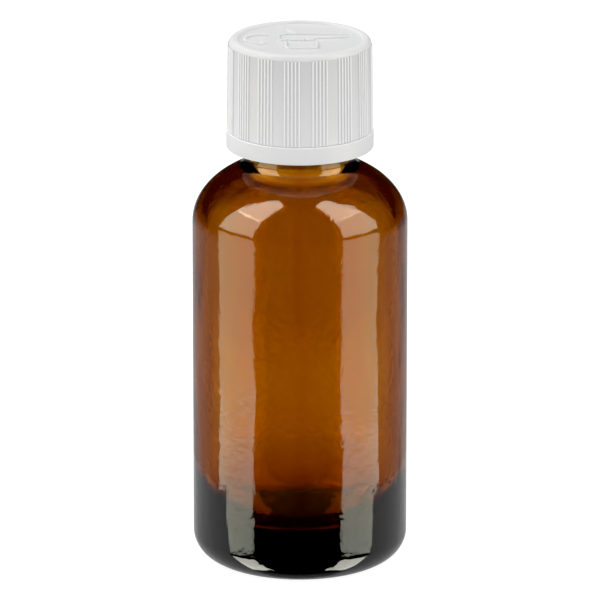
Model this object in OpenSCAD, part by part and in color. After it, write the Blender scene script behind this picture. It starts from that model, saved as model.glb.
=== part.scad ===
// Amber screw-cap medicine bottle, 30 ml, with a push-and-turn cap and a tamper-evident ring.
// Millimetres, +Z up, origin at the centre of the base. The cap's pictogram reads upright from -Y.

/* [Bottle] */
// Outside diameter of the barrel
barrel_d = 33; // [32:0.5:34]
// Height of the straight barrel's top above the base
barrel_top = 53.9; // [52.5:0.1:54.5]
// Radius of the rounded heel
heel_r = 4.2; // [3:0.1:5]
// How far the centre of the base is pushed up
push_up = 1.6; // [0.8:0.1:2]
// Thickness of the glass in the barrel
glass_wall = 2.3; // [2:0.1:2.6]
// Height of the inside's floor above the ground
inner_floor = 6.9; // [6:0.1:7.4]
// Radial half-width of the shoulder's ellipse
shoulder_a = 15.1; // [14.8:0.1:15.4]
// Height of the shoulder's ellipse
shoulder_b = 10.2; // [9.9:0.1:10.4]

/* [Neck finish] */
// Diameter of the neck between the shoulder and the tamper bead
neck_d = 16.8; // [16.6:0.1:17]
// Diameter of the neck between the threads
core_d = 16.1; // [16:0.05:16.2]
// Outside diameter of the neck's thread
thread_d = 17.8; // [17.6:0.05:17.9]
// Diameter of the bead that holds the tamper ring
bead_d = 18.6; // [18.4:0.1:18.8]
// Diameter of the mouth
mouth_d = 11.5; // [11.2:0.1:11.8]
// Pitch of the thread
pitch = 3; // [2.9:0.05:3.1]
// Turns of thread on the neck
neck_turns = 1.7; // [1.5:0.1:1.8]

/* [Cap] */
// Outside diameter over the ribs at the foot of the outer cap
cap_foot_d = 22.54; // [22.4:0.02:22.6]
// Outside diameter over the ribs at the top of the outer cap
cap_top_d = 22.2; // [22:0.02:22.4]
// How far the ribs stand out
rib_h = 0.24; // [0.15:0.01:0.3]
// Width of one rib
rib_w = 0.3; // [0.24:0.01:0.34]
// Number of rib groups round the cap
rib_groups = 16; // [12:1:18]
// Ribs in one group
ribs_per_group = 5; // [3:1:5]
// Angle from one rib to the next in a group
rib_step = 2.9; // [2.7:0.1:3]
// Depth of the flat panel below the rim
panel_depth = 0.35; // [0.2:0.05:0.4]
// Height of the pictogram's raised lines above the panel
line_h = 0.15; // [0.1:0.05:0.2]

/* [Ring and drive] */
// Height of the tamper-evident ring
ring_h = 2.75; // [2.6:0.05:2.8]
// Bridges between the ring and the outer cap
bridges = 12; // [6:1:16]
// Drive teeth on each shell
teeth = 8; // [4:4:8]
// Spring fingers between the shells
fingers = 6; // [4:1:6]

/* [Hidden] */
$fn = 96;
fine = 24;                          // segments in a small arc of an outline
sink = 0.1;                         // how far joined solids reach into each other

// bottle
barrel_r = barrel_d / 2;
shoulder_c = barrel_r - shoulder_a; // radius at the centre of the shoulder's ellipse
shoulder_end = 56.5;                // angle on the ellipse where the neck's fillet starts
neck_r = neck_d / 2;
core_r = core_d / 2;
mouth_r = mouth_d / 2;
inner_r = barrel_r - glass_wall;
inner_reach = 3.4;                  // the inside's heel, across and up
inner_rise = 9;
floor_crown = 0.5;
inner_a = inner_r - shoulder_c;
inner_b = shoulder_b - 2;
inner_end = 57;
inner_neck_r = 7.3;
bore_foot = 69.8;                   // below this the bore widens to the inner neck
bore_flare = 2.4;
bottle_top = 78.2;
lip = 0.7;                          // rounding of the mouth's rim
bead_z = 67.9;                      // underside of the tamper bead
bead_h = 1.3;
rest_in = 10.6;                     // inner radius of the flat ring that the bottle stands on

// thread: a ridge on the neck and its partner in the cap, half a pitch apart
neck_thread_z = 71.2;
thread_root = 0.3;                  // how deep a ridge is sunk into its wall
thread_foot = 1.5;                  // width of the neck's ridge at its foot
thread_crest = 0.6;
cap_start = 125;                    // angle at which the cap's ridge starts
cap_lead = 1.7;                     // its height above the neck's ridge at the same angle
cap_turns = 2.15;
cap_foot = 1.1;                     // width of the cap's ridge at its foot
cap_crest = 0.5;
cap_thread_gap = 0.25;              // from its crest to the neck
thread_steps = 30;                  // rings of points in one turn

// insert
insert_r = mouth_r + 0.04;          // a press fit in the mouth
insert_flange_r = 7.2;
insert_flange_h = 0.4;
insert_depth = 8;
insert_wall = 0.8;
insert_floor = 0.8;
insert_lead = 0.6;                  // cone at the plug's foot, and how far it narrows
insert_taper = 0.3;
well_depth = 2.7;
nozzle_r = 1.4;
drip_r = 0.45;
vent_tube_r = 0.9;
vent_r = 0.35;
vent_x = 3;

// stack above the mouth
liner_r = 8.7;
liner_z = bottle_top + insert_flange_h + 0.03;
liner_h = 0.7;
plate_z = liner_z + liner_h + 0.02; // underside of the inner cap's top
plate_h = 0.6;
inner_top = plate_z + plate_h;

// inner cap
cap_bore_r = 9.15;
inner_cap_r = 9.85;
inner_cap_z = 69.55;

// outer cap
cap_z = 68.67;
rib_top = 82;
cap_top = 82.8;
panel_r = 9.4;
rim_r = 10.1;                       // crest of the rim
plate_t = 0.7;
roof_z = cap_top - panel_depth - plate_t;
shell_in = 10.1;
snap_r = 9.55;                      // bead that keeps the outer cap on the inner cap
snap_h = 0.7;
rib_phase = -6.4;
group_step = 360 / rib_groups;
cap_lean = atan((cap_foot_d - cap_top_d) / 2 / (rib_top - cap_z));
foot_r = cap_foot_d / 2 - rib_h;
top_r = cap_top_d / 2 - rib_h;
corner_h = cap_top - rib_top;

// drive teeth
tooth_in = 4.2;
tooth_w = 2.6;
tooth_h = 0.6;
drive_h = 0.75;
tooth_l = 1.2;

// spring fingers
finger_r = 7.9;
finger_w = 1.2;
finger_l = 4.2;
finger_t = 0.35;
hoop_h = 0.23;
finger_foot = inner_top + 0.02;
finger_top = roof_z - 0.1;
finger_heel = 0.9;                  // length of a finger's end on the hoop
finger_toe = 0.5;                   // and of its end on the inner cap
hoop_lip = 0.3;                     // how far the hoop is wider than the fingers, on each side

// tamper ring
ring_r = 11.27;
ring_in = 10.3;
ring_z = cap_z - 0.12 - ring_h;
flap_r = 8.75;
flap_root = 0.3;                    // how deep the flaps are set in the band
flap_z = 0.35;                      // height of their foot in the ring
flap_slots = 8;
slot_w = 0.8;
bridge_w = 0.8;
bridge_l = 0.5;

// points on an arc of an ellipse from angle a0 to a1
function arc(cx, cz, rx, rz, a0, a1, n = fine) =
    [for (i = [0:n]) let (a = a0 + (a1 - a0) * i / n) [cx + rx * cos(a), cz + rz * sin(a)]];

// an ellipse's quarter that turns into an upright neck through a fillet, from foot to neck
function shoulder(a, b, end, neck) =
    let (n = [cos(end) / a, sin(end) / b],
         lean = n / norm(n),
         r = (shoulder_c + a * cos(end) - neck) / (1 - lean[0]),
         z = barrel_top + b * sin(end) + r * lean[1])
    concat(arc(shoulder_c, barrel_top, a, b, 0, end),
           arc(neck + r, z, r, r, 180 + atan2(lean[1], lean[0]), 180, 12));

function backwards(pts) = [for (i = [len(pts) - 1:-1:0]) pts[i]];

// a ridge of trapezoid section that climbs with the pitch; root and crest are radii
module ridge(root, crest, foot, top, z0, turns) {
    n = ceil(turns * thread_steps);
    fade = 3;
    pts = [for (i = [0:n])
        let (a = 360 * i / thread_steps,
             z = z0 + pitch * i / thread_steps,
             k = min(1, (min(i, n - i) + 0.4) / fade),
             rc = root + (crest - root) * k)
        for (p = [[root, -foot / 2], [rc, -top / 2], [rc, top / 2], [root, foot / 2]])
            [p[0] * cos(a), p[0] * sin(a), z + p[1]]];
    sides = [for (i = [0:n - 1], j = [0:3])
        let (a = 4 * i + j, b = 4 * i + (j + 1) % 4)
        for (t = [[a, b, a + 4], [b, b + 4, a + 4]]) t];
    ends = [[0, 2, 1], [0, 3, 2], [4 * n, 4 * n + 1, 4 * n + 2], [4 * n, 4 * n + 2, 4 * n + 3]];
    faces = concat(sides, ends);
    turned = crest > root ? faces : [for (f = faces) [f[0], f[2], f[1]]];
    polyhedron(points = pts, faces = turned, convexity = 8);
}

// a flat line with round ends, drawn between two points
module stroke(a, b, w = 0.35) {
    d = b - a;
    translate(a) rotate(atan2(d[1], d[0])) translate([0, -w / 2]) square([norm(d), w]);
    for (p = [a, b]) translate(p) circle(d = w, $fn = 16);
}

// a line along a circle's arc
module bend(c, r, a0, a1, w = 0.35) {
    far = arc(c[0], c[1], r + w / 2, r + w / 2, a0, a1, 12);
    near = arc(c[0], c[1], r - w / 2, r - w / 2, a1, a0, 12);
    polygon(concat(far, near));
    for (a = [a0, a1]) translate(c + r * [cos(a), sin(a)]) circle(d = w, $fn = 16);
}

// hand that presses a cap, and a turn arrow
module pictogram() {
    pitch_x = 1.2;                  // from one finger to the next
    bend([-6, 0.2], 2.4, 80, 290);
    stroke([-5.2, -2.05], [-5.9, -1.4]);
    stroke([-5.2, -2.05], [-6, -2.75]);
    stroke([-2.4, -4.9], [-2.4, -1.9]);
    stroke([2.4, -4.9], [2.4, -1.9]);
    bend([-1.7, -4.9], 0.7, 180, 270);
    bend([1.7, -4.9], 0.7, 270, 360);
    stroke([-1.7, -5.6], [1.7, -5.6]);
    for (i = [0:3]) bend([pitch_x * (i - 1.5), 0], pitch_x / 2, 180, 360);
    stroke([-2.4, 0], [-2.4, 1.6]);
    bend([-1.4, 1.6], 1, 90, 180);
    stroke([-1.4, 2.6], [0.4, 3]);
    stroke([2.4, 0], [6.9, 1]);
    stroke([0.4, 3], [6.6, 3.6]);
    stroke([0.4, 3], [-0.8, 4.6]);
}

module bottle() {
    bead_r = bead_d / 2;
    soft = 0.2;                     // chamfers on the bead
    round_r = 0.4;                  // rounding of the mouth's inner edge
    heel_z = inner_floor + inner_rise;
    outer = concat(
        [[0, push_up]],
        arc(0, 0, rest_in, push_up, 80, 0, 10),
        arc(barrel_r - heel_r, heel_r, heel_r, heel_r, -90, 0),
        shoulder(shoulder_a, shoulder_b, shoulder_end, neck_r),
        [[neck_r, bead_z - soft], [bead_r - soft, bead_z], [bead_r, bead_z + soft],
         [bead_r, bead_z + 2.5 * soft], [core_r, bead_z + bead_h]],
        arc(core_r - lip, bottle_top - lip, lip, lip, 0, 90, 8),
        arc(mouth_r + round_r, bottle_top - round_r, round_r, round_r, 90, 180, 6),
        [[mouth_r, bore_foot], [inner_neck_r, bore_foot - bore_flare]],
        backwards(shoulder(inner_a, inner_b, inner_end, inner_neck_r)),
        arc(inner_r - inner_reach, heel_z, inner_reach, inner_rise, 0, -90, 18),
        [[0, inner_floor + floor_crown]]);
    color("#7a3a0c") {
        rotate_extrude() polygon(outer);
        ridge(core_r - thread_root, thread_d / 2, thread_foot, thread_crest, neck_thread_z, neck_turns);
    }
}

module dropper_insert() {
    floor_z = bottle_top - well_depth;
    foot_z = bottle_top - insert_depth;
    well_r = insert_r - insert_wall;
    color("#f4f4f0") difference() {
        union() {
            translate([0, 0, bottle_top]) cylinder(r = insert_flange_r, h = insert_flange_h);
            translate([0, 0, foot_z + insert_lead])
                cylinder(r = insert_r, h = insert_depth - insert_lead + sink);
            translate([0, 0, foot_z])
                cylinder(r1 = insert_r - insert_taper, r2 = insert_r, h = insert_lead);
        }
        difference() {
            translate([0, 0, floor_z]) cylinder(r = well_r, h = well_depth + 1);
            cylinder(r = nozzle_r, h = bottle_top + 0.2);
        }
        difference() {
            translate([0, 0, foot_z - 1]) cylinder(r = well_r, h = floor_z - insert_floor - foot_z + 1);
            cylinder(r = nozzle_r, h = bottle_top);
            translate([vent_x, 0, 0]) cylinder(r = vent_tube_r, h = bottle_top);
        }
        cylinder(r = drip_r, h = bottle_top + 2);
        translate([vent_x, 0, 0]) cylinder(r = vent_r, h = bottle_top + 2);
    }
}

module sealing_liner() {
    color("#e9e6dc") translate([0, 0, liner_z]) cylinder(r = liner_r, h = liner_h);
}

// ring of wedge teeth, steep on the side that drives the cap shut and sloped on the other
module teeth_ring(h, phase) {
    for (i = [0:teeth - 1])
        rotate(phase + 360 * i / teeth) translate([tooth_in, 0, 0]) rotate([90, 0, 90])
            linear_extrude(tooth_w) polygon([[-tooth_l / 2, 0], [tooth_l / 2, 0], [tooth_l / 2, h],
                                             [0, h], [-tooth_l / 2, h / 3]]);
}

module inner_cap() {
    color("#f7f7f5") {
        difference() {
            translate([0, 0, inner_cap_z]) cylinder(r = inner_cap_r, h = inner_top - inner_cap_z);
            translate([0, 0, inner_cap_z - 1]) cylinder(r = cap_bore_r, h = plate_z - inner_cap_z + 1);
        }
        translate([0, 0, inner_top - sink]) teeth_ring(tooth_h + sink, 0);
        rotate(cap_start)
            ridge(cap_bore_r + thread_root, core_r + cap_thread_gap, cap_foot, cap_crest,
                  neck_thread_z + cap_lead + pitch * (cap_start / 360 - 1), cap_turns);
    }
}

module spring_fingers() {
    half = finger_l / 2;
    color("#f0efe9") {
        translate([0, 0, roof_z - 0.02 - hoop_h]) difference() {
            cylinder(r = finger_r + finger_w + hoop_lip, h = hoop_h);
            translate([0, 0, -1]) cylinder(r = finger_r - hoop_lip, h = 2);
        }
        for (i = [0:fingers - 1])
            rotate(360 * i / fingers) translate([finger_r, 0, 0]) rotate([90, 0, 90])
                linear_extrude(finger_w) polygon([
                    [-half, finger_top], [-half + finger_heel, finger_top], [half, finger_foot + finger_t],
                    [half, finger_foot], [half - finger_toe, finger_foot], [-half, finger_top - finger_t]]);
    }
}

module outer_cap() {
    panel_z = cap_top - panel_depth;
    step = 0.2;                     // chamfers at the panel's edge and on the snap bead
    shell = concat(
        [[shell_in, roof_z], [0, roof_z], [0, panel_z], [panel_r - step, panel_z],
         [panel_r, cap_top - step], [panel_r + 1.5 * step, cap_top]],
        arc(rim_r, cap_top - corner_h, top_r - rim_r, corner_h, 90, 0, 12),
        [[foot_r, cap_z], [shell_in, cap_z], [snap_r + step, cap_z], [snap_r, cap_z + step],
         [snap_r, cap_z + snap_h - step / 2], [snap_r + step / 2, cap_z + snap_h],
         [shell_in, cap_z + snap_h]]);
    color("white") {
        rotate_extrude() polygon(shell);
        for (g = [0:rib_groups - 1], i = [0:ribs_per_group - 1])
            rotate(-90 + rib_phase + group_step * g + rib_step * (i - (ribs_per_group - 1) / 2))
                translate([foot_r - rib_h, -rib_w / 2, cap_z]) rotate([0, -cap_lean, 0])
                    cube([2 * rib_h, rib_w, rib_top - cap_z]);
        translate([0, 0, roof_z + sink]) rotate([180, 0, 0]) teeth_ring(drive_h + sink, 180 / teeth);
        translate([0, 0, panel_z - sink]) linear_extrude(line_h + sink) pictogram();
    }
}

module tamper_ring() {
    ring_top = ring_z + ring_h;
    soft = 0.12;                    // chamfers on the band
    root_r = ring_in + flap_root;
    foot_z = ring_z + flap_z;
    color("white") {
        rotate_extrude() polygon([[ring_in, ring_z + soft], [ring_in + soft, ring_z], [ring_r - soft, ring_z],
                                  [ring_r, ring_z + soft], [ring_r, ring_top - soft / 2],
                                  [ring_r - soft / 2, ring_top], [ring_in, ring_top]]);
        difference() {
            // the flaps lean inwards and upwards under the bead
            rotate_extrude() polygon([[root_r, foot_z], [root_r, foot_z + 0.65],
                                      [flap_r + soft, foot_z + 1.45], [flap_r, foot_z + 1.3],
                                      [flap_r, foot_z + 0.95]]);
            for (i = [0:flap_slots - 1])
                rotate(360 * i / flap_slots) translate([flap_r - 1, -slot_w / 2, ring_z - 1])
                    cube([ring_in - flap_r + 1, slot_w, ring_h + 2]);
        }
        for (i = [0:bridges - 1])
            rotate(360 * (i + 0.5) / bridges) translate([ring_in + 0.2, -bridge_w / 2, ring_top - sink])
                cube([bridge_l, bridge_w, 2 * sink]);
    }
}

bottle();
dropper_insert();
sealing_liner();
inner_cap();
spring_fingers();
outer_cap();
tamper_ring();
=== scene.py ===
from math import atan2, ceil, cos, hypot, pi, radians, sin, tan

import bmesh
import bpy
from mathutils import Matrix, Vector, noise


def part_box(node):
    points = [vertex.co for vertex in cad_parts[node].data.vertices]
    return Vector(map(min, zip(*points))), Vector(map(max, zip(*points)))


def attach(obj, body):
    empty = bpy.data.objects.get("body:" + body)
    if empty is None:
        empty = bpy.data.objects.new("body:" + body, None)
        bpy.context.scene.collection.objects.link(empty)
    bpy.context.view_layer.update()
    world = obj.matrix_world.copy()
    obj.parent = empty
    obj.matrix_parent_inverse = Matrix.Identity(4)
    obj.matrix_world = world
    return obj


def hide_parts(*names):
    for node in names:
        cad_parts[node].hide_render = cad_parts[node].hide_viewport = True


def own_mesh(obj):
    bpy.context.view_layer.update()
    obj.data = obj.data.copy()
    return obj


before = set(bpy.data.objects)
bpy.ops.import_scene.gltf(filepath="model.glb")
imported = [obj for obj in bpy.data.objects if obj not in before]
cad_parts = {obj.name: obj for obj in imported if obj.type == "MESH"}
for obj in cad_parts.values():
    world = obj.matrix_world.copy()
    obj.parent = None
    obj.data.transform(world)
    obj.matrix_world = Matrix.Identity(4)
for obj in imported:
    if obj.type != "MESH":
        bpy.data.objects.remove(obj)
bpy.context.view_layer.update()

scene = bpy.context.scene
mm = 0.001  # pieces are drawn in millimetres and scaled at the end
upAxis = (0, 0, 1)
centre = (0, 0, 0)


def boxInMm(node):
    low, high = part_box(node)
    return low / mm, high / mm


bottleHigh = boxInMm("bottle")[1]
capLow, capHigh = boxInMm("outer_cap")
ringLow, ringHigh = boxInMm("tamper_ring")
springLow, springHigh = boxInMm("spring_fingers")


# shared shaping tools

def arcPoints(cx, cz, rx, rz, start, end, count):
    turns = [radians(start + (end - start) * i / count) for i in range(count + 1)]
    return [(cx + rx * cos(a), cz + rz * sin(a)) for a in turns]


def linePoints(start, end, spacing):
    count = max(1, ceil(hypot(end[0] - start[0], end[1] - start[1]) / spacing))
    return [(start[0] + (end[0] - start[0]) * i / count,
             start[1] + (end[1] - start[1]) * i / count) for i in range(1, count)]


def smoothStep(x):
    x = max(0.0, min(1.0, x))
    return x * x * (3 - 2 * x)


def spinOutline(outline, steps, closed=False, turn=2 * pi, climb=0.0):
    bm = bmesh.new()
    verts = [bm.verts.new((x, 0, z)) for x, z in outline]
    edges = [bm.edges.new(pair) for pair in zip(verts, verts[1:])]
    if closed:
        edges.append(bm.edges.new((verts[-1], verts[0])))
    full = abs(turn - 2 * pi) < 1e-6 and climb == 0
    bmesh.ops.spin(bm, geom=verts + edges, cent=centre, axis=upAxis, angle=turn, steps=steps,
                   dvec=(0, 0, climb / steps), use_merge=full, use_duplicate=False)
    bmesh.ops.remove_doubles(bm, verts=bm.verts, dist=0.0005)
    if not full:
        bmesh.ops.holes_fill(bm, edges=bm.edges, sides=0)  # closes both ends
    bmesh.ops.recalc_face_normals(bm, faces=bm.faces)
    return bm


def extrudeOutline(outline, start, depth):
    # the outline lies across X, and the solid runs outwards from start
    bm = bmesh.new()
    face = bm.faces.new([bm.verts.new((start, y, z)) for y, z in outline])
    pushed = bmesh.ops.extrude_face_region(bm, geom=[face])["geom"]
    moved = [v for v in pushed if isinstance(v, bmesh.types.BMVert)]
    bmesh.ops.translate(bm, verts=moved, vec=(depth, 0, 0))
    bmesh.ops.recalc_face_normals(bm, faces=bm.faces)
    return bm


def bevelEdges(bm, edges, width, segments):
    bmesh.ops.bevel(bm, geom=list(edges), offset=width, offset_type="OFFSET", segments=segments,
                    profile=0.5, affect="EDGES", material=-1)


def addCopies(target, source, places):
    mesh = bpy.data.meshes.new("shapeToCopy")
    source.to_mesh(mesh)
    source.free()
    for place in places:
        copy = mesh.copy()
        copy.transform(place)
        target.from_mesh(copy)
        bpy.data.meshes.remove(copy)
    bpy.data.meshes.remove(mesh)


def aroundAxis(count, first=0.0):
    return [Matrix.Rotation(radians(first + 360 * i / count), 4, "Z") for i in range(count)]


def finishPiece(bm, name, material, body, node, smoothAngle=32):
    bmesh.ops.scale(bm, vec=(mm, mm, mm), verts=bm.verts)
    mesh = bpy.data.meshes.new(name)
    bm.to_mesh(mesh)
    bm.free()
    mesh.materials.append(material)
    mesh.shade_smooth()
    mesh.set_sharp_from_angle(angle=radians(smoothAngle))
    piece = bpy.data.objects.new(name, mesh)
    scene.collection.objects.link(piece)
    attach(piece, body)
    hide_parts(node)
    print("made", name, len(mesh.polygons), "faces")
    return piece


# materials

def startMaterial(name):
    material = bpy.data.materials.new(name)
    material.use_nodes = True
    tree = material.node_tree
    return material, tree, tree.nodes["Principled BSDF"]


def noiseNode(tree, scale, detail=3.0, roughness=0.5, stretch=(1, 1, 1)):
    coords = tree.nodes.new("ShaderNodeTexCoord")
    mapping = tree.nodes.new("ShaderNodeMapping")
    mapping.inputs["Scale"].default_value = stretch
    pattern = tree.nodes.new("ShaderNodeTexNoise")
    pattern.inputs["Scale"].default_value = scale
    pattern.inputs["Detail"].default_value = detail
    pattern.inputs["Roughness"].default_value = roughness
    tree.links.new(coords.outputs["Object"], mapping.inputs["Vector"])
    tree.links.new(mapping.outputs["Vector"], pattern.inputs["Vector"])
    return pattern.outputs["Fac"]


def spread(tree, value, low, high, fromLow=0.35, fromHigh=0.65):
    node = tree.nodes.new("ShaderNodeMapRange")
    node.inputs["From Min"].default_value = fromLow
    node.inputs["From Max"].default_value = fromHigh
    node.inputs["To Min"].default_value = low
    node.inputs["To Max"].default_value = high
    tree.links.new(value, node.inputs["Value"])
    return node.outputs["Result"]


def mixColours(tree, value, first, second):
    node = tree.nodes.new("ShaderNodeMix")
    node.data_type = "RGBA"
    node.inputs["A"].default_value = (*first, 1)
    node.inputs["B"].default_value = (*second, 1)
    tree.links.new(value, node.inputs["Factor"])
    return node.outputs["Result"]


def bumpNode(tree, height, distance, strength=1.0, after=None):
    node = tree.nodes.new("ShaderNodeBump")
    node.inputs["Strength"].default_value = strength
    node.inputs["Distance"].default_value = distance
    tree.links.new(height, node.inputs["Height"])
    if after is not None:
        tree.links.new(after, node.inputs["Normal"])
    return node.outputs["Normal"]


def mathNode(tree, operation, first, second=0.0):
    node = tree.nodes.new("ShaderNodeMath")
    node.operation = operation
    tree.links.new(first, node.inputs[0])
    if isinstance(second, float):
        node.inputs[1].default_value = second
    else:
        tree.links.new(second, node.inputs[1])
    return node.outputs["Value"]


def tintBy(tree, share, colour, tint):
    node = tree.nodes.new("ShaderNodeMix")
    node.data_type = "RGBA"
    node.inputs["B"].default_value = (*tint, 1)
    tree.links.new(share, node.inputs["Factor"])
    tree.links.new(colour, node.inputs["A"])
    return node.outputs["Result"]


def objectAxes(tree):
    coords = tree.nodes.new("ShaderNodeTexCoord")
    split = tree.nodes.new("ShaderNodeSeparateXYZ")
    tree.links.new(coords.outputs["Object"], split.inputs["Vector"])
    return (split.outputs[axis] for axis in "XYZ")


def reliefColour(tree, colour, look):
    # painted light in place of soft shading: painted highlights on the ribs, raised lines and rim, and
    # painted shade darkening the wall towards the rim
    east, north, up = objectAxes(tree)
    reach = mathNode(tree, "SQRT", mathNode(tree, "ADD", mathNode(tree, "MULTIPLY", east, east),
                                            mathNode(tree, "MULTIPLY", north, north)))
    wall = spread(tree, up, look["wallFoot"], look["wallTop"], look["foot"], look["ribTop"])
    standsOut = mathNode(tree, "SUBTRACT", reach, wall)
    rib = spread(tree, standsOut, 0, 1, *look["ribEdge"])
    above = mathNode(tree, "GREATER_THAN", up, look["foot"] - look["ledge"])
    under = mathNode(tree, "LESS_THAN", up, look["ribTop"])
    onWall = mathNode(tree, "MULTIPLY", under, above)
    # painted shade, deepening from the foot towards the rim
    paintedShade = mathNode(tree, "MULTIPLY", spread(tree, up, 0, 1, look["foot"], look["ribTop"]), onWall)
    colour = tintBy(tree, paintedShade, colour, look["paintedShade"])
    # painted highlight on the ribs
    colour = tintBy(tree, mathNode(tree, "MULTIPLY", rib, onWall), colour, look["crest"])
    # painted highlight on the panel's lines and the rim
    low, high = look["lineEdge"]
    raised = spread(tree, up, 0, 1, look["panel"] + low, look["panel"] + high)
    return tintBy(tree, raised, colour, look["rim"])


def mouldedPlastic(name, look):
    # fine spark grain, slow clouding and a soft glow below the surface
    material, tree, shader = startMaterial(name)
    cloud = spread(tree, noiseNode(tree, look["cloudScale"], 4), 0, 1)
    grain = noiseNode(tree, look["grainScale"], 2, 0.6)
    flow = noiseNode(tree, look["flowScale"], 2, 0.5, (1, 1, 0.25))
    colour = mixColours(tree, cloud, look["colour"], look["shade"])
    # painted highlights and painted shade on the cap's relief
    if "crest" in look:
        colour = reliefColour(tree, colour, look)
    tree.links.new(colour, shader.inputs["Base Color"])
    tree.links.new(spread(tree, cloud, *look["roughness"], 0, 1), shader.inputs["Roughness"])
    ripples = bumpNode(tree, flow, look["flowDepth"])
    tree.links.new(bumpNode(tree, grain, look["grainDepth"], 1, ripples), shader.inputs["Normal"])
    shader.inputs["IOR"].default_value = look["ior"]
    shader.inputs["Specular IOR Level"].default_value = look["shine"]
    shader.inputs["Subsurface Weight"].default_value = look["glow"]
    shader.inputs["Subsurface Radius"].default_value = look["glowRadius"]
    shader.inputs["Subsurface Scale"].default_value = look["glowScale"]
    return material


def amberGlass(look):
    # clear glass with a slow wave, an orange peel and a fine grain on its skin, coloured all through
    material, tree, shader = startMaterial("amberGlass")
    shader.inputs["Base Color"].default_value = (1, 1, 1, 1)
    shader.inputs["Transmission Weight"].default_value = 1
    shader.inputs["IOR"].default_value = look["ior"]
    shader.inputs["Roughness"].default_value = look["roughness"]
    peel = noiseNode(tree, look["peelScale"], 2, 0.5)
    wave = noiseNode(tree, look["waveScale"], 1, 0.4, (1, 1, 0.45))
    grain = noiseNode(tree, look["grainScale"], 1, 0.5)
    waved = bumpNode(tree, wave, look["waveDepth"])
    peeled = bumpNode(tree, peel, look["peelDepth"], 1, waved)
    tree.links.new(bumpNode(tree, grain, look["grainDepth"], 1, peeled), shader.inputs["Normal"])
    body = tree.nodes.new("ShaderNodeVolumeAbsorption")
    body.inputs["Color"].default_value = (*look["tint"], 1)
    body.inputs["Density"].default_value = look["density"]
    tree.links.new(body.outputs["Volume"], tree.nodes["Material Output"].inputs["Volume"])
    return material


glassLook = {
    "ior": 1.51,
    "roughness": 0.0,
    "tint": (0.831, 0.653, 0.02),
    "density": 1800.0,  # per metre
    "grainScale": 2200.0,
    "grainDepth": 0.000005,
    "peelScale": 1000.0,
    "peelDepth": 0.000026,
    "waveScale": 220.0,
    "waveDepth": 0.0001,
}
capLook = {
    "colour": (0.83, 0.83, 0.83),
    "shade": (0.80, 0.805, 0.81),
    "roughness": (0.3, 0.38),
    "shine": 0.14,
    "cloudScale": 160.0,
    "grainScale": 9000.0,
    "grainDepth": 0.000006,
    "flowScale": 500.0,
    "flowDepth": 0.00001,
    "ior": 1.49,
    "glow": 0.12,
    "glowRadius": (0.001, 0.0009, 0.0008),
    "glowScale": 0.5,
}
springLook = dict(capLook, colour=(0.82, 0.82, 0.79), shade=(0.78, 0.78, 0.75), glow=0.2)
shellLook = dict(capLook, colour=(0.8, 0.8, 0.77), shade=(0.75, 0.75, 0.72), roughness=(0.3, 0.42),
                 glow=0.25)
plugLook = dict(capLook, colour=(0.82, 0.83, 0.8), shade=(0.76, 0.77, 0.74), roughness=(0.22, 0.32),
                grainDepth=0.000003, glow=0.5)

amber = amberGlass(glassLook)
springPlastic = mouldedPlastic("springPlastic", springLook)
shellPlastic = mouldedPlastic("innerShellPlastic", shellLook)
plugPlastic = mouldedPlastic("softPlugPlastic", plugLook)
print("materials ready")


# bottle: one spun outline from the foot's centre, over the outside and down the inside

bottle = {
    "barrelRadius": bottleHigh.x,
    "barrelTop": 53.9,
    "heel": 4.2,
    "pushUp": 1.6,
    "restInside": 10.6,
    "wall": 2.3,
    "innerFloor": 6.9,  # height of the inside's floor at its edge
    "floorCrown": 0.5,
    "innerHeelReach": 3.4,
    "innerHeelRise": 9.0,
    "shoulderReach": 15.1,
    "shoulderRise": 10.2,
    "shoulderEnd": 56.5,  # degrees
    "neck": 8.4,
    "innerNeck": 7.3,
    "innerShoulderEnd": 57.0,
    "boreFoot": 69.8,  # below this the bore widens to the inner neck
    "boreFlare": 2.4,
    "bead": 9.3,
    "beadFoot": 67.9,
    "beadTop": 69.2,
    "core": 8.05,
    "threadRadius": 8.9,
    "threadStart": 71.2,
    "threadTurns": 1.7,
    "pitch": 3.0,
    "threadFoot": 1.5,
    "threadCrest": 0.5,
    "mouth": 5.75,
    "lip": 0.7,
    "top": bottleHigh.z,
    "steps": 176,
    "gripMarks": 44,  # short bars under the foot
    "gripDepth": 0.09,
    "waviness": 0.045,
}


def shoulderPoints(middle, foot, reach, rise, end, neck):
    # a quarter-ellipse that turns into an upright neck through a fillet
    a = radians(end)
    leanX, leanZ = cos(a) / reach, sin(a) / rise
    size = hypot(leanX, leanZ)
    leanX, leanZ = leanX / size, leanZ / size
    fillet = (middle + reach * cos(a) - neck) / (1 - leanX)
    filletZ = foot + rise * sin(a) + fillet * leanZ
    lean = 180 + atan2(leanZ, leanX) * 180 / pi
    return (arcPoints(middle, foot, reach, rise, 0, end, 30)
            + arcPoints(neck + fillet, filletZ, fillet, fillet, lean, 180, 12)[1:])


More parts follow.
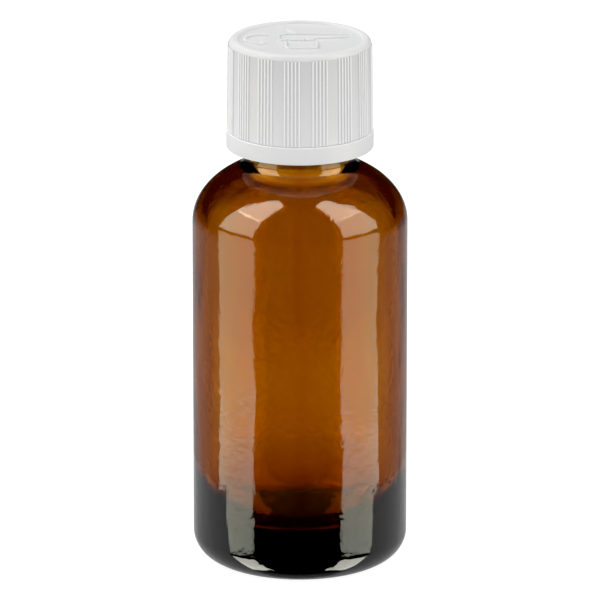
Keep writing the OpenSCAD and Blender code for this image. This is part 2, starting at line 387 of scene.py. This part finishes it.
def bottleOutline(b):
    shoulderMiddle = b["barrelRadius"] - b["shoulderReach"]
    innerRadius = b["barrelRadius"] - b["wall"]
    outline = [(0, b["pushUp"])]
    outline += arcPoints(0, 0, b["restInside"], b["pushUp"], 82, 0, 14)
    outline += linePoints((b["restInside"], 0), (b["barrelRadius"] - b["heel"], 0), 0.35)
    outline += arcPoints(b["barrelRadius"] - b["heel"], b["heel"], b["heel"], b["heel"], -90, 0, 22)
    outline += linePoints((b["barrelRadius"], b["heel"]), (b["barrelRadius"], b["barrelTop"]), 2.2)
    outline += shoulderPoints(shoulderMiddle, b["barrelTop"], b["shoulderReach"], b["shoulderRise"],
                              b["shoulderEnd"], b["neck"])
    outline += [(b["neck"], b["beadFoot"] - 0.2)]
    outline += arcPoints(b["bead"] - 0.35, b["beadFoot"] + 0.35, 0.35, 0.35, -80, 20, 5)
    outline += arcPoints(b["bead"] - 0.3, b["beadFoot"] + 0.6, 0.3, 0.3, 20, 60, 3)
    outline += linePoints((b["core"], b["beadTop"] - 0.12), (b["core"], b["top"] - b["lip"]), 0.14)
    outline += arcPoints(b["core"] - b["lip"], b["top"] - b["lip"], b["lip"], b["lip"], 0, 90, 8)
    outline += arcPoints(b["mouth"] + 0.4, b["top"] - 0.4, 0.4, 0.4, 90, 180, 6)
    outline += linePoints((b["mouth"], b["top"] - 0.4), (b["mouth"], b["boreFoot"]), 2)
    for i in range(9):
        t = i / 8
        outline.append((b["mouth"] + (b["innerNeck"] - b["mouth"]) * smoothStep(t),
                        b["boreFoot"] - b["boreFlare"] * t))
    inner = shoulderPoints(shoulderMiddle, b["barrelTop"], innerRadius - shoulderMiddle,
                           b["shoulderRise"] - 2, b["innerShoulderEnd"], b["innerNeck"])
    outline += reversed(inner)
    heelTop = b["innerFloor"] + b["innerHeelRise"]
    outline += linePoints((innerRadius, b["barrelTop"]), (innerRadius, heelTop), 1.8)
    outline += arcPoints(innerRadius - b["innerHeelReach"], heelTop, b["innerHeelReach"],
                         b["innerHeelRise"], 0, -90, 22)
    flat = innerRadius - b["innerHeelReach"]
    for i in range(1, 9):  # low crown in the middle of the floor
        r = flat * (1 - i / 8)
        outline.append((r, b["innerFloor"] + b["floorCrown"] * smoothStep(i / 8)))
    return outline, innerRadius


def threadLift(b, angle, z):
    # how far the neck stands out at this angle (degrees) and height
    lift = 0.0
    last = 360 * b["threadTurns"]
    for turn in range(ceil(b["threadTurns"])):
        along = angle + 360 * turn
        if along > last:
            continue
        away = abs(z - b["threadStart"] - b["pitch"] * along / 360)
        shape = smoothStep((b["threadFoot"] / 2 - away) / ((b["threadFoot"] - b["threadCrest"]) / 2))
        lift = max(lift, shape * smoothStep(min(along, last - along) / 25))
    return lift * (b["threadRadius"] - b["core"])


def shapeBottle(b):
    outline, innerRadius = bottleOutline(b)
    bm = spinOutline(outline, b["steps"])
    for v in bm.verts:
        r = hypot(v.co.x, v.co.y)
        if r < 0.01:
            continue
        angle = atan2(v.co.y, v.co.x) * 180 / pi % 360
        z = v.co.z
        push = 0.0
        if b["beadTop"] - 0.1 < z < b["top"] - b["lip"] and r > b["mouth"] + 1:
            push = threadLift(b, angle, z)
        elif z > b["innerFloor"] - 0.01 and r < innerRadius + 0.01 and z < b["barrelTop"] + 5:
            # the inside is blown, so it wanders a little
            push = b["waviness"] * noise.noise(Vector((v.co.x, v.co.y, z * 0.5)) * 0.16)
            push += b["waviness"] * 0.4 * noise.noise(Vector((v.co.x, v.co.y, z * 0.3)) * 0.5)
        v.co.x *= 1 + push / r
        v.co.y *= 1 + push / r
        if z < 0.01 and r > b["restInside"] + 0.1:
            v.co.z += b["gripDepth"] * (0.5 - 0.5 * cos(radians(angle) * b["gripMarks"]))
    bmesh.ops.recalc_face_normals(bm, faces=bm.faces)
    return bm


finishPiece(shapeBottle(bottle), "amberBottle", amber, "bottle", "bottle", 60)


# outer cap: spun shell, grip ribs, raised pictogram and drive teeth

cap = {
    "foot": capLow.z,
    "top": capHigh.z,
    "ribTop": 82.0,
    "ribHeight": 0.19,
    "ribWidth": 0.27,
    "ribRound": 0.11,
    "footDrop": 0.11,  # the foot comes down almost to the ring
    "ribGroups": 16,
    "ribsInGroup": 5,
    "ribStep": 2.9,  # degrees
    "ribPhase": -6.4,
    "footRadius": 11.03,
    "topRadius": 10.86,
    "rimCrest": 10.1,
    "panelRadius": 9.4,
    "panelDepth": 0.35,
    "plate": 0.7,
    "inside": 10.1,
    "snap": 9.55,
    "snapHeight": 0.7,
    "steps": 192,
    "lineWidth": 0.46,
    "lineHeight": 0.3,
    "lineEnd": 0.45,  # how far a line's tip runs on, and how thin it gets, as shares of its width
    "lineTip": 0.35,
    "lineSink": 0.005,
    "teeth": 8,
    "toothStart": 4.2,
    "toothLength": 2.6,
    "toothWidth": 1.2,
    "toothSink": 0.1,
    "driveHeight": 0.75,
}
reliefLook = dict(capLook,
                  foot=cap["foot"] * mm,
                  ribTop=cap["ribTop"] * mm,
                  wallFoot=cap["footRadius"] * mm,
                  wallTop=cap["topRadius"] * mm,
                  panel=(cap["top"] - cap["panelDepth"]) * mm,
                  ledge=0.0003,  # how far the painted highlight reaches below the foot, over the ring's upper edge
                  ribEdge=(0.00006, 0.00014),  # heights over which a rib's painted highlight comes in
                  lineEdge=(0.00008, 0.0002),  # the same for the panel's lines and the rim
                  # painted shade on the wall towards the rim, painted highlights on the ribs and on the
                  # panel's lines and rim
                  paintedShade=(0.69, 0.69, 0.69),
                  crest=(0.95, 0.95, 0.95),
                  rim=(0.86, 0.86, 0.86))
whitePlastic = mouldedPlastic("whiteCapPlastic", reliefLook)


def capShell(c):
    foot = c["foot"] - c["footDrop"]
    panel = c["top"] - c["panelDepth"]
    roof = panel - c["plate"]
    corner = c["top"] - c["ribTop"]
    outline = [(0, roof), (c["inside"] - 0.25, roof)]
    outline += arcPoints(c["inside"] - 0.25, roof - 0.25, 0.25, 0.25, 60, 0, 3)
    outline += [(c["inside"], c["foot"] + c["snapHeight"]), (c["snap"] + 0.1, c["foot"] + c["snapHeight"])]
    outline += arcPoints(c["snap"] + 0.15, c["foot"] + c["snapHeight"] - 0.2, 0.15, 0.15, 110, 180, 4)
    outline += arcPoints(c["snap"] + 0.2, foot + 0.2, 0.2, 0.2, 180, 270, 4)
    outline += arcPoints(c["footRadius"] - 0.06, foot + 0.03, 0.06, 0.03, -90, 0, 3)
    outline += linePoints((c["footRadius"], foot + 0.03), (c["topRadius"], c["ribTop"]), 1.6)
    outline += arcPoints(c["rimCrest"], c["ribTop"], c["topRadius"] - c["rimCrest"], corner, 0, 90, 14)
    outline += arcPoints(c["panelRadius"] + 0.32, c["top"] - 0.22, 0.25, 0.22, 90, 172, 6)
    outline += arcPoints(c["panelRadius"] - 0.1, panel + 0.12, 0.12, 0.12, 0, -90, 4)
    outline += linePoints((c["panelRadius"] - 0.1, panel), (0, panel), 1.5)
    outline += [(0, panel)]
    return spinOutline(outline, c["steps"])


def capRib(c):
    bm = bmesh.new()
    length = c["ribTop"] - c["foot"]
    bmesh.ops.create_cube(bm, size=1)
    bmesh.ops.scale(bm, vec=(2 * c["ribHeight"], c["ribWidth"], length), verts=bm.verts)
    outside = [e for e in bm.edges if all(v.co.x > 0 for v in e.verts)
               and any(v.co.z > 0 for v in e.verts)]
    bevelEdges(bm, outside, c["ribRound"], 3)
    bmesh.ops.translate(bm, verts=bm.verts, vec=(0, 0, length / 2))
    return bm


def ribPlaces(c):
    lean = Matrix.Rotation(-atan2(c["footRadius"] - c["topRadius"], c["ribTop"] - c["foot"]), 4, "Y")
    out = Matrix.Translation((c["footRadius"], 0, c["foot"]))
    places = []
    for group in range(c["ribGroups"]):
        for rib in range(c["ribsInGroup"]):
            angle = -90 + c["ribPhase"] + 360 / c["ribGroups"] * group
            angle += c["ribStep"] * (rib - (c["ribsInGroup"] - 1) / 2)
            places.append(Matrix.Rotation(radians(angle), 4, "Z") @ out @ lean)
    return places


def pictogramLines():
    # a hand that presses a cap down, and an arrow that turns
    def bend(x, y, r, start, end, count=14):
        return arcPoints(x, y, r, r, start, end, count)

    lines = [
        bend(-6, 0.2, 2.4, 70, 285),
        [(-6.1, -1.2), (-5.3, -2.15), (-6.4, -2.9)],
        [(-2.1, -1.6)] + bend(-1.4, -4.4, 0.7, 180, 270, 6) + bend(1.9, -4.4, 0.7, 270, 360, 6)
        + [(2.6, -1.6)],
        [(-3.2, 0.2)] + bend(-2.2, 2.0, 1, 180, 90, 6) + [(-0.4, 3.1), (6.9, 2.9)],
        [(-0.4, 3.1), (-1.9, 4.9)],
        [(2.2, 0.6), (7.1, 1.4)],
    ]
    lines += [bend(-2.6 + 1.35 * i, 0.1, 0.62, 170, 370, 8) for i in range(4)]
    return lines


def pictogram(c):
    curve = bpy.data.curves.new("pictogramPath", "CURVE")
    curve.dimensions = "3D"
    curve.bevel_depth = c["lineWidth"] / 2
    curve.bevel_resolution = 3
    curve.use_fill_caps = True
    for points in pictogramLines():
        spline = curve.splines.new("POLY")
        full = [points[0]] + points[:] + [points[-1]]
        for k in (0, -1):
            near = Vector(points[k])
            away = near - Vector(points[1 if k == 0 else -2])
            full[k] = tuple(near + away.normalized() * c["lineWidth"] * c["lineEnd"])
        spline.points.add(len(full) - 1)
        for i, (point, place) in enumerate(zip(spline.points, full)):
            point.co = (place[0], place[1], 0, 1)
            point.radius = c["lineTip"] if i in (0, len(full) - 1) else 1.0
    holder = bpy.data.objects.new("pictogramPath", curve)
    mesh = holder.to_mesh()
    bm = bmesh.new()
    bm.from_mesh(mesh)
    holder.to_mesh_clear()
    bpy.data.objects.remove(holder)
    bpy.data.curves.remove(curve)
    bmesh.ops.remove_doubles(bm, verts=bm.verts, dist=0.0005)
    bmesh.ops.recalc_face_normals(bm, faces=bm.faces)
    bmesh.ops.scale(bm, vec=(1, 1, 2 * c["lineHeight"] / c["lineWidth"]), verts=bm.verts)
    return bm


def toothOutline(width, height):
    # upright on the driving side, sloped on the other
    return [(-width / 2, 0), (width / 2, 0), (width / 2, height), (0, height),
            (-width / 2, height / 3)]


def shapeCap(c):
    bm = capShell(c)
    addCopies(bm, capRib(c), ribPlaces(c))
    panel = c["top"] - c["panelDepth"]
    addCopies(bm, pictogram(c), [Matrix.Translation((0, 0, panel - c["lineSink"]))])
    tooth = extrudeOutline(toothOutline(c["toothWidth"], c["driveHeight"] + c["toothSink"]),
                           c["toothStart"], c["toothLength"])
    hang = Matrix.Translation((0, 0, panel - c["plate"] + c["toothSink"])) @ Matrix.Rotation(pi, 4, "X")
    addCopies(bm, tooth, [hang @ place for place in aroundAxis(c["teeth"], 180 / c["teeth"])])
    return bm


finishPiece(shapeCap(cap), "outerCapShell", whitePlastic, "outer_cap", "outer_cap")


# tamper-evident ring: band, hold-down flaps and the bridges that break

ring = {
    "foot": ringLow.z,
    "height": 2.75,
    "outside": ringHigh.x,
    "inside": 10.3,
    "flapTip": 8.75,
    "flaps": 8,
    "slot": 0.8,
    "bridges": 12,
    "bridgeWidth": 0.8,
    "steps": 192,
}


def shapeRing(r):
    foot, top = r["foot"], r["foot"] + r["height"]
    outline = [(r["inside"], foot + 0.1)]
    outline += arcPoints(r["outside"] - 0.12, foot + 0.12, 0.12, 0.12, -90, 0, 5)
    outline += arcPoints(r["outside"] - 0.2, top - 0.16, 0.2, 0.16, 0, 90, 6)
    outline += [(r["inside"] + 0.05, top), (r["inside"], top - 0.05)]
    bm = spinOutline(outline, r["steps"], closed=True)
    flapOutline = [(r["inside"] + 0.3, foot + 0.35), (r["inside"] + 0.3, foot + 1),
                   (r["flapTip"] + 0.1, foot + 1.8), (r["flapTip"], foot + 1.65),
                   (r["flapTip"], foot + 1.3)]
    gap = r["slot"] / r["inside"]
    flap = spinOutline(flapOutline, 18, closed=True, turn=2 * pi / r["flaps"] - gap)
    half = gap / 2 * 180 / pi
    addCopies(bm, flap, aroundAxis(r["flaps"], half))
    bridge = bmesh.new()
    bmesh.ops.create_cube(bridge, size=1)
    bmesh.ops.scale(bridge, vec=(0.5, r["bridgeWidth"], 0.2), verts=bridge.verts)
    bmesh.ops.translate(bridge, verts=bridge.verts, vec=(r["inside"] + 0.45, 0, top))
    addCopies(bm, bridge, aroundAxis(r["bridges"], 180 / r["bridges"]))
    return bm


finishPiece(shapeRing(ring), "tamperRing", whitePlastic, "tamper_ring", "tamper_ring")


# spring fingers: a hoop under the roof with curved leaves, which in the real part bend as the cap is
# pressed

spring = {
    "top": springHigh.z,
    "foot": springLow.z,
    "hoopHeight": 0.23,
    "hoopInside": 7.6,
    "hoopOutside": 9.4,
    "leaf": 7.9,
    "leafWidth": 1.2,
    "leafLength": 4.2,
    "leafThickness": 0.35,
    "leaves": 6,
    "keep": 0.44,  # share of the height left when the cap is pressed home
}


def leafOutline(s):
    # an S-shaped leaf, from the hoop at one end to its foot at the other
    half, thick = s["leafLength"] / 2, s["leafThickness"]
    high, low = s["top"] - 0.08, s["foot"] + thick
    count = 12
    upper = []
    for i in range(count + 1):
        t = i / count
        upper.append((-half + t * 2 * half, high - (high - low) * smoothStep(t * 1.15 - 0.1)))
    lower = [(y, z - thick) for y, z in reversed(upper)]
    return upper + lower


def shapeSpring(s):
    hoopFoot = s["top"] - s["hoopHeight"]
    bm = spinOutline([(s["hoopInside"], hoopFoot), (s["hoopOutside"], hoopFoot),
                      (s["hoopOutside"], s["top"]), (s["hoopInside"], s["top"])], 96, closed=True)
    leaf = extrudeOutline(leafOutline(s), s["leaf"], s["leafWidth"])
    addCopies(bm, leaf, aroundAxis(s["leaves"]))
    return bm


springPiece = finishPiece(shapeSpring(spring), "springLeaves", springPlastic, "cap_spring",
                          "spring_fingers")
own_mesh(springPiece)

for node, material in (("dropper_insert", plugPlastic), ("sealing_liner", shellPlastic),
                       ("inner_cap", shellPlastic)):
    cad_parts[node].data.materials.clear()
    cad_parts[node].data.materials.append(material)


# studio: white ground, side and overhead panels, camera

studio = {
    "floorSize": 4.0,
    "floorGlow": 0.93,
    "panelDistance": 0.6,
    # not one real room: each kind of ray gets a sky of its own
    # what lights the plastic, by how far back it comes from
    "soft": {"front": 0.84, "back": 0.96, "from": (-1.0, 0.1)},
    # what is seen through the glass: brighter and greener to the sides, dark above
    "through": {"middle": 1.14, "sides": 1.8, "aside": (0.02, 0.18), "sideTint": (0.95, 1.6, 1.0),
                "upTint": (0.16, 0.035, 0.01), "up": (-0.27, -0.09)},
    # what glass and plastic mirror: only what lies behind the bottle and low down
    "mirrored": {"near": 0.22, "nearFrom": (-0.05, 0.18), "far": 0.3, "farFrom": (0.35, 0.95),
                 "up": (-0.27, -0.1)},
    # dark disc under the foot, and the lit ground that the glass mirrors near it
    "shade": {"radius": 0.0154, "colour": (0.03, 0.02, 0.02), "drop": 0.00005},
    "litGround": {"radius": 0.055, "glow": 0.62, "front": -0.014, "drop": 0.0001},
    # sheet behind the bottle, seen only through the glass: painted shade that darkens what lies behind,
    # lightest halfway up
    "veil": {"distance": 0.12, "size": 0.5, "rise": (-0.028, -0.013), "fall": (-0.007, 0.002),
             "dark": (0.8, 0.72, 0.72)},
    # small light for the plastic alone, which brings out the cap's relief
    "key": {"place": (-0.42, 0.3, 0.34), "size": 0.16, "energy": 0.9},
}
# panels that are only mirrored or seen through glass, some of them below the ground's level: their
# edges in degrees up from the foot, or from the barrel's top for an upper edge above 0
panels = {
    "foot": {"from": -20.5, "to": -16.6, "glow": 2.8, "tint": (0.98, 1.0, 0.83)},
    "side": {"from": -16.6, "to": 1.0, "glow": 2.4, "tint": (1.0, 0.9, 0.6)},
    "overhead": {"from": 12.0, "to": 44.0, "glow": 4.0, "tint": (1.0, 0.93, 0.68)},
    "top": {"from": 44.0, "to": 76.0, "glow": 6.0, "tint": (1.0, 0.93, 0.72)},
    "ground": {"from": -66.0, "to": -27.0, "glow": 6.5, "tint": (1.0, 0.98, 0.88)},
}
# azimuths of the panels' edges, in degrees from the camera's side
sides = {"right": (46.0, 92.0), "left": (-50.0, -96.0)}
view = {"distance": 1.134, "elevation": 17.58, "pivot": 0.036, "aim": 0.0410, "lens": 441.8}


def addPanel(name, middle, half, low, high, look):
    outwards = Vector((sin(middle), -cos(middle), 0)) * studio["panelDistance"]
    width = 2 * studio["panelDistance"] * tan(half)
    light = bpy.data.lights.new(name, "AREA")
    light.shape = "RECTANGLE"
    light.size = width
    light.size_y = high - low
    light.energy = look["glow"] * 4 * width * (high - low)
    light.color = look["tint"]
    panel = bpy.data.objects.new(name, light)
    panel.location = outwards + Vector((0, 0, (low + high) / 2))
    panel.rotation_euler = (-outwards).to_track_quat("-Z", "Y").to_euler()
    panel.visible_camera = False
    panel.visible_diffuse = False
    scene.collection.objects.link(panel)


def addKey(k):
    light = bpy.data.lights.new("keyLight", "AREA")
    light.size = k["size"]
    light.energy = k["energy"]
    key = bpy.data.objects.new("keyLight", light)
    key.location = k["place"]
    aim = Vector((0, 0, cap["top"] * mm)) - key.location
    key.rotation_euler = aim.to_track_quat("-Z", "Y").to_euler()
    for kind in ("camera", "glossy", "transmission"):
        setattr(key, "visible_" + kind, False)
    scene.collection.objects.link(key)


for side, (start, end) in sides.items():
    for kind, values in panels.items():
        base = 0.0 if values["to"] < 0 else bottle["barrelTop"] * mm
        low = studio["panelDistance"] * tan(radians(values["from"]))
        high = base + studio["panelDistance"] * tan(radians(values["to"]))
        addPanel(side + kind.title() + "Panel", radians((start + end) / 2),
                 radians(abs(end - start) / 2), low, high, values)


def buildWorld():
    world = bpy.data.worlds.new("studioWorld")
    scene.world = world
    world.use_nodes = True
    world.cycles.sampling_method = "NONE"
    tree = world.node_tree
    background = tree.nodes["Background"]
    coords = tree.nodes.new("ShaderNodeTexCoord")
    split = tree.nodes.new("ShaderNodeSeparateXYZ")
    rays = tree.nodes.new("ShaderNodeLightPath")
    tree.links.new(coords.outputs["Generated"], split.inputs["Vector"])

    def choose(test, otherwise, then):
        node = tree.nodes.new("ShaderNodeMix")
        tree.links.new(test, node.inputs["Factor"])
        for socket, value in (("A", otherwise), ("B", then)):
            if isinstance(value, float):
                node.inputs[socket].default_value = value
            else:
                tree.links.new(value, node.inputs[socket])
        return node.outputs["Result"]

    soft, through, mirrored = studio["soft"], studio["through"], studio["mirrored"]
    east, north, up = (split.outputs[axis] for axis in "XYZ")
    behind = mathNode(tree, "ADD", spread(tree, north, 0, mirrored["near"], *mirrored["nearFrom"]),
                      spread(tree, north, 0, mirrored["far"], *mirrored["farFrom"]))
    reflected = mathNode(tree, "MULTIPLY", behind, spread(tree, up, 1, 0, *mirrored["up"]))
    aside = mathNode(tree, "ABSOLUTE", east)
    behindGlass = spread(tree, aside, through["middle"], through["sides"], *through["aside"])
    around = spread(tree, north, soft["front"], soft["back"], *soft["from"])
    seen = rays.outputs["Is Transmission Ray"]
    level = choose(rays.outputs["Is Glossy Ray"], around, reflected)
    level = choose(seen, level, behindGlass)
    level = choose(rays.outputs["Is Camera Ray"], level, 1.0)
    tree.links.new(level, background.inputs["Strength"])
    sideShare = mathNode(tree, "MULTIPLY", seen, spread(tree, aside, 0, 1, *through["aside"]))
    upShare = mathNode(tree, "MULTIPLY", seen, spread(tree, up, 0, 1, *through["up"]))
    colour = mixColours(tree, sideShare, (1, 1, 1), through["sideTint"])
    colour = tintBy(tree, upShare, colour, through["upTint"])
    tree.links.new(colour, background.inputs["Color"])


def addStage(name, bm, material, height, seenBy):
    # a part of the studio that only one kind of ray sees
    bmesh.ops.translate(bm, verts=bm.verts, vec=(0, 0, height))
    mesh = bpy.data.meshes.new(name)
    bm.to_mesh(mesh)
    bm.free()
    mesh.materials.append(material)
    stage = bpy.data.objects.new(name, mesh)
    for kind in ("camera", "glossy", "transmission", "diffuse", "shadow"):
        setattr(stage, "visible_" + kind, kind == seenBy)
    scene.collection.objects.link(stage)


def stageMaterial(name, colour, glow):
    material, tree, shader = startMaterial(name)
    shader.inputs["Base Color"].default_value = (*colour, 1)
    shader.inputs["Roughness"].default_value = 1
    shader.inputs["Specular IOR Level"].default_value = 0
    shader.inputs["Emission Color"].default_value = (1, 1, 1, 1)
    shader.inputs["Emission Strength"].default_value = glow
    return material


def stageDisc(radius):
    bm = bmesh.new()
    bmesh.ops.create_circle(bm, cap_ends=True, segments=64, radius=radius)
    return bm


def buildFloor():
    bm = bmesh.new()
    bmesh.ops.create_grid(bm, x_segments=1, y_segments=1, size=studio["floorSize"] / 2)
    pale = stageMaterial("paleFloor", (0.3, 0.3, 0.3), studio["floorGlow"])
    addStage("studioFloor", bm, pale, 0, "camera")
    shade = studio["shade"]
    dark = stageMaterial("footShade", shade["colour"], 0)
    addStage("footShade", stageDisc(shade["radius"]), dark, -shade["drop"], "transmission")
    ground = studio["litGround"]
    bm = stageDisc(ground["radius"])
    bmesh.ops.bisect_plane(bm, geom=bm.verts[:] + bm.edges[:] + bm.faces[:], dist=1e-6,
                           plane_co=(0, ground["front"], 0), plane_no=(0, -1, 0), clear_outer=True)
    lit = stageMaterial("litGround", (0, 0, 0), ground["glow"])
    addStage("litGround", bm, lit, -ground["drop"], "glossy")


def addVeil(v):
    bm = bmesh.new()
    bmesh.ops.create_grid(bm, x_segments=1, y_segments=1, size=v["size"] / 2)
    bmesh.ops.rotate(bm, verts=bm.verts, cent=centre, matrix=Matrix.Rotation(pi / 2, 3, "X"))
    bmesh.ops.translate(bm, verts=bm.verts, vec=(0, v["distance"], 0))
    material, tree, shader = startMaterial("veil")
    up = list(objectAxes(tree))[2]
    # painted shade: the sheet darkens the backdrop seen through the glass, except in a light band
    band = mathNode(tree, "MULTIPLY", spread(tree, up, 0, 1, *v["rise"]),
                    spread(tree, up, 1, 0, *v["fall"]))
    sheet = tree.nodes.new("ShaderNodeBsdfTransparent")
    tree.links.new(mixColours(tree, band, v["dark"], (1, 1, 1)), sheet.inputs["Color"])
    tree.links.new(sheet.outputs["BSDF"], tree.nodes["Material Output"].inputs["Surface"])
    tree.nodes.remove(shader)
    addStage("veil", bm, material, 0, "transmission")


def placeCamera():
    data = bpy.data.cameras.new("camera")
    data.lens = view["lens"]
    data.sensor_width = 36
    data.clip_end = 20
    camera = bpy.data.objects.new("camera", data)
    rise = radians(view["elevation"])
    camera.location = (0, -view["distance"] * cos(rise), view["pivot"] + view["distance"] * sin(rise))
    aim = Vector((0, 0, view["aim"])) - camera.location
    camera.rotation_euler = aim.to_track_quat("-Z", "Y").to_euler()
    scene.collection.objects.link(camera)
    scene.camera = camera


addKey(studio["key"])
buildWorld()
buildFloor()
addVeil(studio["veil"])
placeCamera()
scene.view_settings.view_transform = "Standard"
scene.view_settings.look = "None"
scene.cycles.max_bounces = 32
scene.cycles.transmission_bounces = 32
scene.cycles.glossy_bounces = 12
scene.cycles.diffuse_bounces = 4
scene.cycles.use_denoising = True
print("studio ready")
